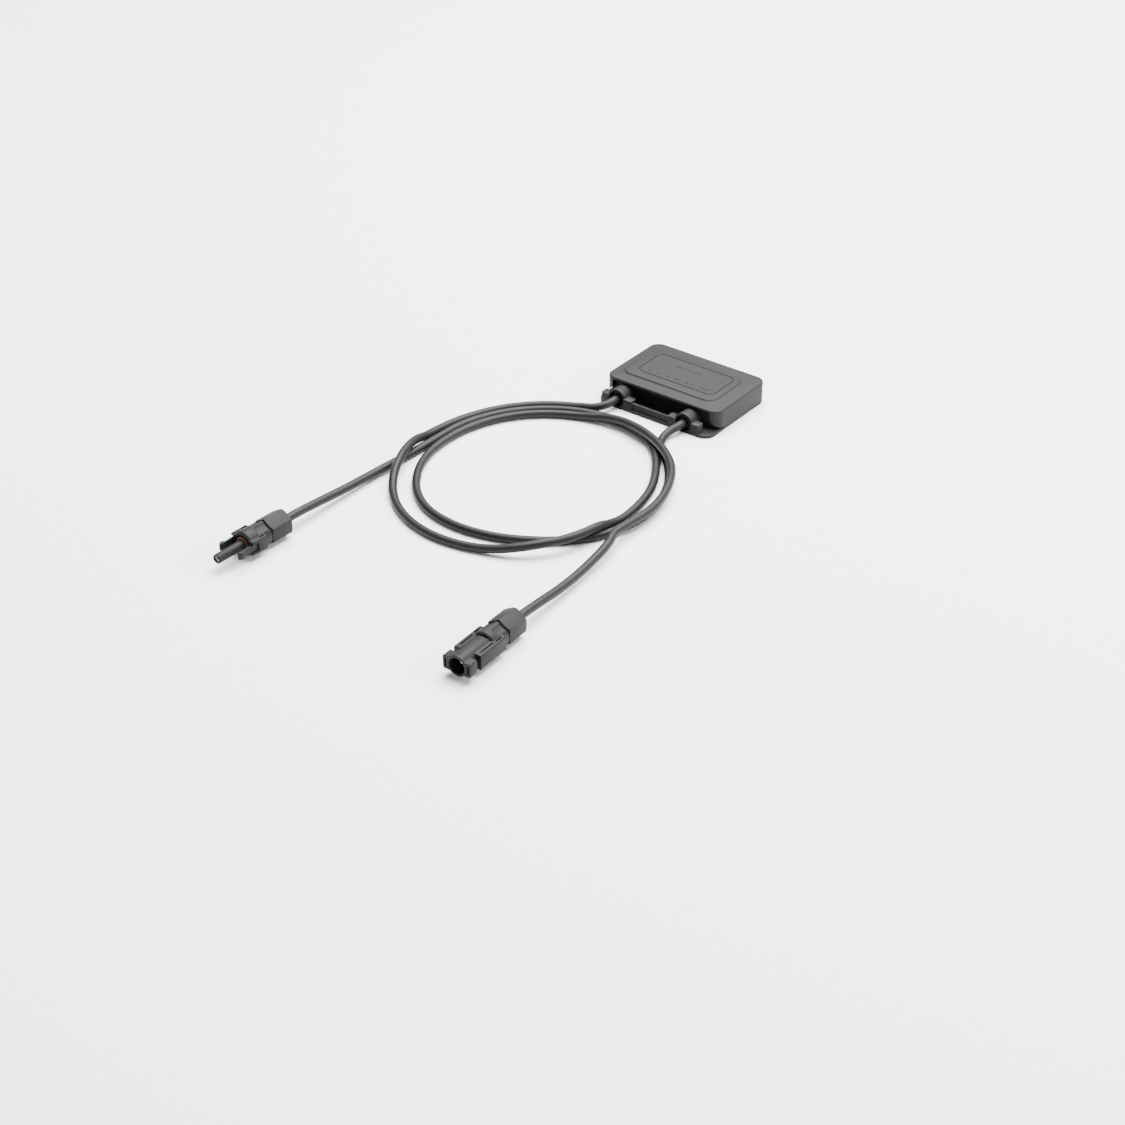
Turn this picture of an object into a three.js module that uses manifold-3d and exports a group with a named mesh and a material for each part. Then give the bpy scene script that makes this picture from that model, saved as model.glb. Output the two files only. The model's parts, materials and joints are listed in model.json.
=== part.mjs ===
// Junction box for a solar panel, with its two leads and their pair of mating
// connectors. Millimetres, +Z up. The origin is the middle of the box's
// underside. +X runs along the box's long side, and the leads leave it at -Y.

import * as THREE from 'three';
import { mergeVertices } from 'three/addons/utils/BufferGeometryUtils.js';
import Module from 'manifold-3d';

const wasm = await Module();
wasm.setup();

// Driving dimensions

const GAP = 0.3; // clearance between separate pieces
const FACETS = 24; // sides of a turned piece

const BOX = { halfX: 50.8, halfY: 39, corner: 9, floor: 2.2 };
const TUB = { halfX: 47.8, front: -24.4, back: 36, corner: 6, wall: 2, top: 13 };
const COVER = {
  front: -27.8, top: 17.6, roof: 2, wall: 2, corner: 8.5,
  openingHalfX: 43.5, openingTop: 15.6, flareTop: 11, bevel: 1.2,
};
const PLATEAU = { left: -43, right: 39, front: -17.5, back: 25, corner: 8, rise: 1.2 };
const PANEL_LINE = { left: -35.5, right: 33.5, front: -9.3, back: 23.5, corner: 6, width: 0.7, depth: 0.5 };

const FOOT = { halfX: 13.8, front: -38.8, back: -31.8, height: 9 };
const GLAND = {
  axes: { left: -32.5, right: 28 },
  z: 6.9, radius: 7.7, bore: 6, rim: -37.6, inner: -21,
};
const LEDGE = { y: -37.2, thick: 1.6, height: 9 };

const CABLE = { diameter: 6.3, conductor: 2.6, sides: 10 };
const WINDOW = { halfX: 30, front: 21, back: 30.5 }; // where the panel's ribbons come in

const RAIL = { centres: [-34.5, -11.5, 11.5, 34.5], halfX: 7.5, front: -7, back: 17, z: 4, thick: 0.8 };
const CLAMP = { front: -20.8, back: -16.9, halfX: 8.6, flange: 1.4, screwX: 6.7 };
const DIODE = { halfX: 5, front: 1, back: 10, bottom: 5.4, top: 9.4, wire: 1.1 };

const CONNECTOR = {
  z: 10.2, length: 62.5, nutFront: 44, nutCorner: 10.1, bodyRadius: 9, wingHalfX: 10.6, wingHalfZ: 5.4,
  chamber: 5.4, stub: 6.8, stubEnd: 49,
};
const SHELL = { x: 93.6, y: -379, turn: 2.4, barrel: 7.4, bore: 5.9, flange: 6.8, notchEnd: 11.3, wall: 25.5 };
const PROBE = { x: -111, y: -380.8, turn: -2.2, tube: 3.5, bore: 2, front: 24, recess: 27, recessRadius: 6.8 };
const FINGER = { inner: 8, outer: 9.6, halfZ: 2.6, tip: 11.6, barbEnd: 16.2, barb: 10.9, root: 29.2 };

// The free stretches of both leads, from each gland to the coil and from the
// coil to each connector.
const COIL = { x: -17.5, y: -156, outerX: 99, outerY: 108, width: 22.5, bottom: 0.2, top: 9.6 };
const ROUTES = {
  left_cable_lead: [[-32.5, -36.2, 6.9], [-32.5, -38.4, 6.9], [-32.9, -43, 6.5], [-33.5, -48, 5.8]],
  right_cable_lead: [[28, -36.2, 6.9], [28, -38.4, 6.9], [26.8, -43, 6.4], [24.7, -49.5, 5.4], [23.4, -54.8, 4.5]],
  probe_cable_lead: [
    [-107.2, -211, 4.4], [-107.7, -230, 4.9], [-108.1, -258, 6.3], [-108.4, -286, 8.6],
    [-108.5, -306, 10], [-108.59, -318.05, 10.2],
  ],
  shell_cable_lead: [
    [79.3, -193, 9.3], [83.3, -207, 8.7], [86.4, -230, 7.3], [88.8, -262, 7],
    [90.1, -293, 9.2], [90.6, -306, 10.1], [90.97, -316.26, 10.2],
  ],
};

const LOOKS = {
  plastic: [0x2b2c2e, 0.62, 0],
  rubber: [0x1d1d1e, 0.85, 0],
  sheath: [0x242527, 0.6, 0],
  copper: [0xb87349, 0.4, 1],
  tinned: [0xb9bcbf, 0.35, 1],
  epoxy: [0x17181a, 0.5, 0],
  steel: [0xa7aaad, 0.35, 1],
  silicone: [0x8d4a45, 0.7, 0],
};

const part = new THREE.Group();

// Helpers: solids, prisms and turned pieces

function solid(geometry) {
  const bare = geometry.clone();
  bare.deleteAttribute('normal');
  bare.deleteAttribute('uv');
  const merged = mergeVertices(bare, 1e-4);
  const place = merged.attributes.position.array;
  const faces = Uint32Array.from(merged.index.array);
  return new wasm.Manifold(new wasm.Mesh({
    numProp: 3,
    vertProperties: Float32Array.from(place),
    triVerts: volume(place, faces) < 0 ? turnedOver(faces) : faces,
  }));
}

function volume(place, faces) {
  const [a, b, c] = [new THREE.Vector3(), new THREE.Vector3(), new THREE.Vector3()];
  let sum = 0;
  for (let i = 0; i < faces.length; i += 3) {
    a.fromArray(place, 3 * faces[i]);
    b.fromArray(place, 3 * faces[i + 1]);
    c.fromArray(place, 3 * faces[i + 2]);
    sum += a.dot(b.cross(c));
  }
  return sum;
}

function turnedOver(faces) {
  const other = faces.slice();
  for (let i = 0; i < faces.length; i += 3) {
    other[i + 1] = faces[i + 2];
    other[i + 2] = faces[i + 1];
  }
  return other;
}

function add(name, shape, look, group = part) {
  const mesh = shape.getMesh();
  const geometry = new THREE.BufferGeometry();
  geometry.setAttribute('position', new THREE.BufferAttribute(mesh.vertProperties, mesh.numProp));
  geometry.setIndex(new THREE.BufferAttribute(mesh.triVerts, 1));
  const [color, roughness, metalness] = LOOKS[look];
  const node = new THREE.Mesh(geometry, new THREE.MeshStandardMaterial({ color, roughness, metalness }));
  node.name = name;
  group.add(node);
  return node;
}

function roundedRect(x0, y0, x1, y1, radius, frontRadius = radius) {
  const shape = new THREE.Shape();
  shape.moveTo(x0 + frontRadius, y0);
  shape.lineTo(x1 - frontRadius, y0);
  shape.absarc(x1 - frontRadius, y0 + frontRadius, frontRadius, -Math.PI / 2, 0);
  shape.lineTo(x1, y1 - radius);
  shape.absarc(x1 - radius, y1 - radius, radius, 0, Math.PI / 2);
  shape.lineTo(x0 + radius, y1);
  shape.absarc(x0 + radius, y1 - radius, radius, Math.PI / 2, Math.PI);
  shape.lineTo(x0, y0 + frontRadius);
  shape.absarc(x0 + frontRadius, y0 + frontRadius, frontRadius, Math.PI, 1.5 * Math.PI);
  return shape;
}

function polygon(points) {
  return new THREE.Shape(points.map(([x, y]) => new THREE.Vector2(x, y)));
}

function upright(shape, z0, z1) {
  const geometry = new THREE.ExtrudeGeometry(shape, { depth: z1 - z0, bevelEnabled: false, curveSegments: 6 });
  geometry.translate(0, 0, z0);
  return solid(geometry);
}

// The shape's own axes are X and Z, and it is drawn out along Y.
function alongY(shape, y0, y1) {
  const geometry = new THREE.ExtrudeGeometry(shape, { depth: y1 - y0, bevelEnabled: false, curveSegments: 8 });
  geometry.rotateX(Math.PI / 2);
  geometry.translate(0, y1, 0);
  return solid(geometry);
}

// The shape's own axes are Y and Z, and it is drawn out along X.
function alongX(shape, x0, x1) {
  const geometry = new THREE.ExtrudeGeometry(shape, { depth: x1 - x0, bevelEnabled: false });
  geometry.rotateX(Math.PI / 2);
  geometry.rotateZ(Math.PI / 2);
  geometry.translate(x0, 0, 0);
  return solid(geometry);
}

function block(x0, y0, z0, x1, y1, z1) {
  const geometry = new THREE.BoxGeometry(x1 - x0, y1 - y0, z1 - z0);
  geometry.translate((x0 + x1) / 2, (y0 + y1) / 2, (z0 + z1) / 2);
  return solid(geometry);
}

// A profile of [radius, y] corners, turned about the Y axis, then moved.
function turned(profile, facets = FACETS, at = [0, 0, 0]) {
  const points = profile.map(([r, y]) => new THREE.Vector2(r, y));
  const geometry = new THREE.LatheGeometry(points, facets);
  geometry.translate(...at);
  return solid(geometry);
}

// The same, turned about Z.
function turnedUp(profile, facets, at) {
  const geometry = new THREE.LatheGeometry(profile.map(([r, z]) => new THREE.Vector2(r, z)), facets);
  geometry.rotateX(Math.PI / 2);
  geometry.translate(...at);
  return solid(geometry);
}

function tube(outer, inner, y0, y1, facets = FACETS) {
  return turned([[inner, y0], [outer, y0], [outer, y1], [inner, y1], [inner, y0]], facets);
}

function rod(radius, y0, y1, facets = FACETS, at = [0, 0, 0]) {
  return turned([[0, y0], [radius, y0], [radius, y1], [0, y1]], facets, at);
}

function hexagon(corner, y0, y1) {
  const points = [];
  for (let i = 0; i < 6; i += 1) {
    const angle = Math.PI / 2 + (i * Math.PI) / 3;
    points.push([corner * Math.cos(angle), corner * Math.sin(angle)]);
  }
  return alongY(polygon(points), y0, y1);
}

function join(first, ...others) {
  return others.reduce((whole, next) => whole.add(next), first);
}

function cut(first, ...others) {
  return others.reduce((whole, next) => whole.subtract(next), first);
}

// A cable's tube along hand-placed points.
function cableTube(points) {
  const curve = new THREE.CatmullRomCurve3(points.map((p) => new THREE.Vector3(...p)), false, 'centripetal');
  const section = new THREE.Shape();
  for (let i = 0; i < CABLE.sides; i += 1) {
    const angle = (2 * Math.PI * i) / CABLE.sides;
    const x = (CABLE.diameter / 2) * Math.cos(angle);
    const y = (CABLE.diameter / 2) * Math.sin(angle);
    if (i === 0) section.moveTo(x, y);
    else section.lineTo(x, y);
  }
  section.closePath();
  const steps = Math.max(3, Math.round(curve.getLength() / (2.5 * CABLE.diameter)));
  return solid(new THREE.ExtrudeGeometry(section, { steps, extrudePath: curve, bevelEnabled: false }));
}

// Box: moulded base

const apronBack = -18 - GAP;
const cornerX = BOX.halfX - BOX.corner;
const cornerY = -BOX.halfY + BOX.corner;
const apronOutline = new THREE.Shape();
apronOutline.moveTo(-BOX.halfX, apronBack);
apronOutline.lineTo(-BOX.halfX, cornerY);
apronOutline.absarc(-cornerX, cornerY, BOX.corner, Math.PI, 1.5 * Math.PI);
apronOutline.absarc(cornerX, cornerY, BOX.corner, -Math.PI / 2, 0);
apronOutline.lineTo(BOX.halfX, apronBack);
const footOutline = upright(apronOutline, 0, FOOT.height);

function foot(axis) {
  const slab = block(axis - FOOT.halfX, FOOT.front, 1, axis + FOOT.halfX, FOOT.back, FOOT.height);
  return slab.intersect(footOutline);
}

function saddle(axis) {
  const profile = new THREE.Shape();
  profile.moveTo(axis - GLAND.radius, 1);
  profile.lineTo(axis + GLAND.radius, 1);
  profile.lineTo(axis + GLAND.radius, GLAND.z);
  profile.absarc(axis, GLAND.z, GLAND.radius, 0, Math.PI);
  return alongY(profile, GLAND.rim, TUB.front + 0.1);
}

function glandBore(axis) {
  return rod(GLAND.bore, -BOX.halfY - 1, -30, FACETS, [axis, 0, GLAND.z]);
}

// The cable passes the tub's wall in a smaller hole behind the seal's seat.
function wallHole(axis) {
  const radius = CABLE.diameter / 2 + GAP;
  return rod(radius, -31, GLAND.inner, FACETS, [axis, 0, GLAND.z]);
}

function screwHoles(axis) {
  return [-CLAMP.screwX, CLAMP.screwX].map((x) => turnedUp(
    [[0, 0.6], [1.6, 0.6], [1.6, BOX.floor + 1], [0, BOX.floor + 1]], 12,
    [axis + x, (CLAMP.front + CLAMP.back) / 2, 0],
  ));
}

function railPosts() {
  return RAIL.centres.flatMap((x) => [RAIL.front + 3, RAIL.back - 7].map(
    (y) => block(x - 3, y - 2, 1, x + 3, y + 2, RAIL.z - GAP),
  ));
}

const axes = [GLAND.axes.left, GLAND.axes.right];
const tubWall = cut(
  upright(roundedRect(-TUB.halfX, TUB.front, TUB.halfX, TUB.back, TUB.corner), 0, TUB.top),
  upright(roundedRect(
    -TUB.halfX + TUB.wall, TUB.front + TUB.wall, TUB.halfX - TUB.wall, TUB.back - TUB.wall,
    TUB.corner - TUB.wall,
  ), BOX.floor, TUB.top + 1),
);
const frontLedge = block(
  GLAND.axes.left, LEDGE.y, 1, GLAND.axes.right, LEDGE.y + LEDGE.thick, LEDGE.height,
);
const base = cut(
  join(
    upright(apronOutline, 0, BOX.floor), tubWall, frontLedge,
    ...axes.map(foot), ...axes.map(saddle), ...railPosts(),
  ),
  ...axes.map(glandBore), ...axes.map(wallHole), ...axes.flatMap(screwHoles),
  block(-WINDOW.halfX, WINDOW.front, -1, WINDOW.halfX, WINDOW.back, BOX.floor + 1),
);
add('base_housing', base, 'plastic');

// Box: deep cover with a plateau and an engraved panel line

function coverBody(inset, z0, z1) {
  return upright(roundedRect(
    -BOX.halfX + inset, COVER.front + inset, BOX.halfX - inset, BOX.halfY - inset,
    COVER.corner - inset,
  ), z0, z1);
}

// The front opening flares out at the foot, over the apron's full width.
const flareX = COVER.openingHalfX + 1.5;
const flareZ = COVER.flareTop * 0.62;
const apronTop = BOX.floor + GAP;
const opening = new THREE.Shape();
opening.moveTo(-BOX.halfX - 1, -1);
opening.lineTo(-BOX.halfX - 1, apronTop);
opening.quadraticCurveTo(-flareX, flareZ, -COVER.openingHalfX, COVER.flareTop);
opening.lineTo(-COVER.openingHalfX, COVER.openingTop);
opening.lineTo(COVER.openingHalfX, COVER.openingTop);
opening.lineTo(COVER.openingHalfX, COVER.flareTop);
opening.quadraticCurveTo(flareX, flareZ, BOX.halfX + 1, apronTop);
opening.lineTo(BOX.halfX + 1, -1);

const rise = COVER.top + PLATEAU.rise;
const panelLine = cut(
  upright(roundedRect(
    PANEL_LINE.left, PANEL_LINE.front, PANEL_LINE.right, PANEL_LINE.back, PANEL_LINE.corner,
  ), rise - PANEL_LINE.depth, rise + 1),
  upright(roundedRect(
    PANEL_LINE.left + PANEL_LINE.width, PANEL_LINE.front + PANEL_LINE.width,
    PANEL_LINE.right - PANEL_LINE.width, PANEL_LINE.back - PANEL_LINE.width,
    PANEL_LINE.corner - PANEL_LINE.width,
  ), rise - PANEL_LINE.depth - 1, rise + 2),
);
const frontLip = block(-8.5, COVER.front + 0.2, 11.8, 18, COVER.front + 1.8, COVER.top - 1);
const cover = cut(
  join(
    cut(
      join(
        coverBody(0, GAP, COVER.top - COVER.bevel), // sides
        coverBody(COVER.bevel / 2, COVER.top - COVER.bevel - 0.5, COVER.top - COVER.bevel / 3),
        coverBody(COVER.bevel, COVER.top - 1, COVER.top),
        upright(roundedRect(
          PLATEAU.left, PLATEAU.front, PLATEAU.right, PLATEAU.back, PLATEAU.corner,
        ), COVER.top - 1, rise),
      ),
      coverBody(COVER.wall, -1, COVER.top - COVER.roof),
      alongY(opening, -BOX.halfY - 1, -18),
    ),
    frontLip,
  ),
  panelLine,
);
add('cover', cover, 'plastic');

// Box: gasket on the tub's rim, under the cover

const gasketInset = 0.4;
const gasket = cut(
  upright(roundedRect(
    -TUB.halfX + gasketInset, TUB.front + gasketInset, TUB.halfX - gasketInset,
    TUB.back - gasketInset, TUB.corner - gasketInset,
  ), TUB.top + GAP, COVER.top - COVER.roof - GAP),
  upright(roundedRect(
    -TUB.halfX + TUB.wall - gasketInset, TUB.front + TUB.wall - gasketInset,
    TUB.halfX - TUB.wall + gasketInset, TUB.back - TUB.wall + gasketInset,
    TUB.corner - TUB.wall + gasketInset,
  ), TUB.top, COVER.top),
);
add('cover_gasket', gasket, 'rubber');

// Box: what each lead has at the gland and inside the tub

const sheath = CABLE.diameter / 2;
const clampMiddle = (CLAMP.front + CLAMP.back) / 2;
const clampFoot = BOX.floor + GAP - GLAND.z;

function archOutline(radius, bottom) {
  const outline = new THREE.Shape();
  outline.moveTo(-radius, bottom);
  outline.lineTo(radius, bottom);
  outline.lineTo(radius, 0);
  outline.absarc(0, 0, radius, 0, Math.PI);
  return outline;
}

// A metal bridge that holds the sheath down on the tub's floor.
function clampBridge() {
  const arch = alongY(archOutline(sheath + 1.7, clampFoot), CLAMP.front, CLAMP.back);
  const flange = block(
    -CLAMP.halfX, CLAMP.front, clampFoot, CLAMP.halfX, CLAMP.back, clampFoot + CLAMP.flange,
  );
  const room = alongY(archOutline(sheath + GAP, clampFoot - 1), CLAMP.front - 1, CLAMP.back + 1);
  const holes = [-CLAMP.screwX, CLAMP.screwX].map((x) => turnedUp(
    [[0, clampFoot - 1], [1.6, clampFoot - 1], [1.6, 0], [0, 0]], 12, [x, clampMiddle, 0],
  ));
  return cut(join(arch, flange), room, ...holes);
}

function clampScrew(x) {
  const seat = clampFoot + CLAMP.flange + GAP;
  const profile = [[0, 1 - GLAND.z], [1.2, 1 - GLAND.z], [1.2, seat], [1.8, seat], [1.8, seat + 1.2], [0, seat + 1.2]];
  return turnedUp(profile, 12, [x, clampMiddle, 0]);
}

// A crimped barrel with a palm that lies on the end rail.
function crimpLug(railOffset) {
  const palmZ = RAIL.z + RAIL.thick + GAP - GLAND.z;
  const palmTop = palmZ + 0.8;
  return join(
    tube(2.5, CABLE.conductor / 2 + GAP, -15.5, -9, 16),
    block(Math.min(-2, railOffset - 2), -9.8, palmZ, Math.max(2, railOffset + 2), -8.6, palmTop),
    block(railOffset - 2, -8.8, palmZ, railOffset + 2, -2, palmTop),
  );
}

function leadEntry(side, axis, railX) {
  const group = new THREE.Group();
  group.position.set(axis, 0, GLAND.z);
  part.add(group);
  add(`${side}_cable_seal`, tube(GLAND.bore - GAP, sheath + GAP, -36, -30 - GAP), 'rubber', group);
  add(`${side}_cable_end`, rod(sheath, -35.7, -16.5, CABLE.sides), 'sheath', group);
  add(`${side}_conductor`, rod(CABLE.conductor / 2, -16.2, -10.2, CABLE.sides), 'copper', group);
  add(`${side}_crimp_lug`, crimpLug(railX - axis), 'tinned', group);
  add(`${side}_cable_clamp`, clampBridge(), 'steel', group);
  add(`${side}_clamp_screw_1`, clampScrew(-CLAMP.screwX), 'steel', group);
  add(`${side}_clamp_screw_2`, clampScrew(CLAMP.screwX), 'steel', group);
}

leadEntry('left', GLAND.axes.left, RAIL.centres[0]);
leadEntry('right', GLAND.axes.right, RAIL.centres[3]);

// Box: contact rails, ribbon clips and bypass diodes

const clipOutline = [
  [13.5, 3.1], [18.2, 3.1], [18.2, 6.9], [12.8, 6.9], [12.8, 5.3], [13.4, 5.3], [13.4, 6.3],
  [17.6, 6.3], [17.6, 3.7], [13.5, 3.7],
];
RAIL.centres.forEach((x, i) => {
  const rail = block(x - RAIL.halfX, RAIL.front, RAIL.z, x + RAIL.halfX, RAIL.back, RAIL.z + RAIL.thick);
  add(`terminal_rail_${i + 1}`, rail, 'tinned');
  add(`ribbon_clip_${i + 1}`, alongX(polygon(clipOutline), x - 3.5, x + 3.5), 'steel');
});

for (let i = 0; i < RAIL.centres.length - 1; i += 1) {
  const x = (RAIL.centres[i] + RAIL.centres[i + 1]) / 2;
  const middle = (DIODE.front + DIODE.back) / 2;
  const [near, far] = [middle - DIODE.wire / 2, middle + DIODE.wire / 2];
  const wireBottom = DIODE.bottom + 1.2;
  const legs = [-1, 1].map((side) => {
    const x0 = x + side * 8.2 - DIODE.wire / 2;
    return block(x0, near, RAIL.z + RAIL.thick + GAP, x0 + DIODE.wire, far, wireBottom + DIODE.wire);
  });
  const body = block(x - DIODE.halfX, DIODE.front, DIODE.bottom, x + DIODE.halfX, DIODE.back, DIODE.top);
  const wire = block(x - 8.5, near, wireBottom, x + 8.5, far, wireBottom + DIODE.wire);
  add(`bypass_diode_${i + 1}`, join(body, wire, ...legs), 'epoxy');
}

// Connectors. Each is drawn along its own +Y, with its mating end at y = 0, and
// then laid down beside the other.

function connectorGroup({ x, y, turn }) {
  const group = new THREE.Group();
  group.position.set(x, y, CONNECTOR.z);
  group.rotation.z = THREE.MathUtils.degToRad(turn);
  part.add(group);
  return group;
}

// A shallow pocket in the upper or lower shoulder of the round body.
function pocket(angle, y0, y1) {
  const geometry = new THREE.BoxGeometry(6.2, y1 - y0, 2.4);
  geometry.translate(0, (y0 + y1) / 2, CONNECTOR.bodyRadius + 0.2);
  geometry.rotateY(THREE.MathUtils.degToRad(angle));
  return solid(geometry);
}

function rearBody(y0) {
  const { bodyRadius, nutFront, stub, stubEnd } = CONNECTOR;
  return turned([
    [0, y0], [bodyRadius - 0.8, y0], [bodyRadius, y0 + 0.8], [bodyRadius, nutFront - 2.4],
    [bodyRadius - 0.6, nutFront], [stub, nutFront], [stub, stubEnd], [0, stubEnd],
  ]);
}

function capNut() {
  const { nutFront, nutCorner, length, stub } = CONNECTOR;
  const front = nutFront + GAP;
  const envelope = turned([
    [0, front], [nutCorner - 0.6, front], [nutCorner, front + 0.8], [nutCorner, length - 1.4],
    [nutCorner - 1, length], [0, length],
  ]);
  const inside = turned([
    [0, front - 1], [stub + GAP, front - 1], [stub + GAP, 51], [5.7, 52], [5.7, 56],
    [sheath + 0.5, 58.5], [sheath + 0.5, length + 1], [0, length + 1],
  ]);
  return cut(envelope.intersect(hexagon(nutCorner, front - 1, length + 1)), inside);
}

function commonRear(name, group) {
  add(`${name}_cable_end`, rod(sheath, 41.5, CONNECTOR.length - GAP, CABLE.sides), 'sheath', group);
  add(`${name}_cable_seal`, tube(CONNECTOR.chamber - GAP, sheath + GAP, 43, 48.6), 'rubber', group);
  add(`${name}_clamping_cage`, turned([
    [sheath + GAP, 49.3], [5.3, 49.3], [5.3, 55.6], [sheath + 0.9, 57.6], [sheath + GAP, 57.6], [sheath + GAP, 49.3],
  ], 18), 'plastic', group);
  return add(`${name}_cap_nut`, capNut(), 'plastic', group);
}

// Socket side: a plastic shell round a metal pin

const shellGroup = connectorGroup(SHELL);
const { wingHalfX, wingHalfZ, chamber } = CONNECTOR;

function mirrored(box) {
  const [x0, y0, z0, x1, y1, z1] = box;
  return [block(...box), block(-x1, y0, z0, -x0, y1, z1)];
}

const shellHousing = cut(
  join(
    rod(SHELL.barrel, 0, 30),
    block(-wingHalfX - 0.2, 0, -wingHalfZ + 0.3, wingHalfX + 0.2, SHELL.flange, wingHalfZ - 0.3),
    block(-wingHalfX, SHELL.notchEnd, -wingHalfZ, wingHalfX, 38, wingHalfZ),
    rearBody(28),
  ),
  rod(SHELL.bore, -1, SHELL.wall),
  rod(2.2, SHELL.wall - 1, 30),
  rod(chamber, 28.5, CONNECTOR.stubEnd + 1),
  ...mirrored([8.2, -1, -3, 9.5, 5, 3]), // guides for the latch fingers
  ...mirrored([7.6, 14.4, 4.2, 8.3, 27.2, 7]),
  ...mirrored([7.6, 14.4, -7, 8.3, 27.2, -4.2]),
  ...mirrored([8.1, 29.9, 3.6, 9.1, 35.3, 7]),
  pocket(30, 34, 41.5), pocket(-30, 34, 41.5), pocket(150, 34, 41.5), pocket(-150, 34, 41.5),
);
add('shell_housing', shellHousing, 'plastic', shellGroup);
add('pin_contact', turned([
  [0, 5], [1.1, 5.2], [1.9, 7], [1.9, 29], [3.2, 29], [3.2, 30.6], [2.6, 30.6], [2.6, 40.5],
  [1.6, 40.5], [1.6, 33], [0, 33],
], 20), 'tinned', shellGroup);
commonRear('shell', shellGroup);

// Plug side: a plastic probe round a metal socket, with two latch fingers

const probeGroup = connectorGroup(PROBE);
const probeHousing = cut(
  join(
    cut(
      join(block(-wingHalfX, PROBE.front, -wingHalfZ, wingHalfX, 37, wingHalfZ), rearBody(PROBE.front)),
      rod(PROBE.recessRadius, PROBE.front - 1, PROBE.recess),
    ),
    turned([[0, 0], [PROBE.tube - 0.5, 0], [PROBE.tube, 0.6], [PROBE.tube, PROBE.recess + 1], [0, PROBE.recess + 1]]),
  ),
  rod(PROBE.bore, -1, 30),
  rod(chamber, 29.5, CONNECTOR.stubEnd + 1),
  ...mirrored([FINGER.inner - 0.5, PROBE.front - 1, -FINGER.halfZ - 0.5, 13, FINGER.root + GAP, FINGER.halfZ + 0.5]),
  ...mirrored([8.1, 31.5, 3.6, 9.1, 36, 7]),
  pocket(30, 33, 40.5), pocket(-30, 33, 40.5), pocket(150, 33, 40.5), pocket(-150, 33, 40.5),
);
add('probe_housing', probeHousing, 'plastic', probeGroup);
add('socket_contact', turned([
  [1.1, 1], [1.65, 1], [1.65, 30], [3.2, 30], [3.2, 31.4], [2.6, 31.4], [2.6, 40.5],
  [1.6, 40.5], [1.6, 33.5], [1.1, 33.5], [1.1, 1],
], 20), 'tinned', probeGroup);
const ringSection = [];
for (let i = 0; i <= 10; i += 1) {
  const angle = (2 * Math.PI * i) / 10;
  ringSection.push([4.65 + 0.8 * Math.cos(angle), 24.1 + 0.8 * Math.sin(angle)]);
}
ringSection[10] = ringSection[0];
add('probe_o_ring', turned(ringSection), 'silicone', probeGroup);

function latchFinger(side) {
  const outline = [
    [FINGER.inner, FINGER.root], [FINGER.inner, FINGER.tip], [FINGER.outer, FINGER.tip],
    [FINGER.barb, FINGER.tip + 1.6], [FINGER.barb, FINGER.barbEnd], [FINGER.outer, FINGER.barbEnd],
    [FINGER.outer, FINGER.root],
  ].map(([x, y]) => [side * x, y]);
  return upright(polygon(outline), -FINGER.halfZ, FINGER.halfZ);
}

add('left_latch_finger', latchFinger(-1), 'plastic', probeGroup);
add('right_latch_finger', latchFinger(1), 'plastic', probeGroup);
commonRear('probe', probeGroup);

// Cables: the shared coil, and each lead's free stretches

const coilMiddle = (COIL.bottom + COIL.top) / 2;
const coilHalf = (COIL.top - COIL.bottom) / 2;
const coilInner = COIL.outerY - COIL.width;
const coilGeometry = new THREE.LatheGeometry([
  [coilInner + 3, -coilHalf], [COIL.outerY - 3, -coilHalf], [COIL.outerY, -coilHalf + 3],
  [COIL.outerY, coilHalf - 3], [COIL.outerY - 3, coilHalf], [coilInner + 3, coilHalf],
  [coilInner, coilHalf - 3], [coilInner, -coilHalf + 3], [coilInner + 3, -coilHalf],
].map(([r, z]) => new THREE.Vector2(r, z)), 48);
coilGeometry.rotateX(Math.PI / 2);
coilGeometry.scale(COIL.outerX / COIL.outerY, 1, 1);
coilGeometry.translate(COIL.x, COIL.y, coilMiddle);
add('cable_coil', solid(coilGeometry), 'sheath');

for (const [name, points] of Object.entries(ROUTES)) {
  add(name, cableTube(points), 'sheath');
}

export default part;
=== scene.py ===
# A solar junction box with two coiled leads and their pair of latching connectors.
# Lengths are in millimetres until they are turned into a mesh, which is in metres.

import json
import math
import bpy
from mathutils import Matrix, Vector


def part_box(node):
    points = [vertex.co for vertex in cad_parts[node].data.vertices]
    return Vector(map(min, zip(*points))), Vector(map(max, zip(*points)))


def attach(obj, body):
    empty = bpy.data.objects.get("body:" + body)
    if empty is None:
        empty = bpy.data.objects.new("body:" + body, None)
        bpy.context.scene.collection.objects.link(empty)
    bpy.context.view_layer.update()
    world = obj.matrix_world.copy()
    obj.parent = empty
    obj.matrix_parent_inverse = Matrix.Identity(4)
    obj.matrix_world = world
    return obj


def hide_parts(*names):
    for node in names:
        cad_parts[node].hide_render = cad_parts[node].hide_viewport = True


bl_info = {
    "name": "Solar Junction Box",
    "version": (1, 0, 0),
    "blender": (4, 5, 0),
    "location": "3D View > Sidebar > Junction Box",
    "description": "Builds a solar junction box, its coiled leads and its connectors",
    "category": "Object",
}

import bmesh
import bpy
from bpy.props import FloatProperty, FloatVectorProperty, IntProperty, PointerProperty
from mathutils import Matrix, Vector

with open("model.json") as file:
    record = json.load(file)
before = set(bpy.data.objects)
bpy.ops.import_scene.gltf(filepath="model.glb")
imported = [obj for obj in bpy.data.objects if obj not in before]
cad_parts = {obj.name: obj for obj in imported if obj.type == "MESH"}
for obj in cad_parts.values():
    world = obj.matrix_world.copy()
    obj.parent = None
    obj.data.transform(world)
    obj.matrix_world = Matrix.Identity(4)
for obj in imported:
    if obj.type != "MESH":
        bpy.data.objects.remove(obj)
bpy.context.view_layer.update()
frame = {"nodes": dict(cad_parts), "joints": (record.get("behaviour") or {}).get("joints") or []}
MM = 0.001


# Sizes, read from the frame where it holds them


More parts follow.
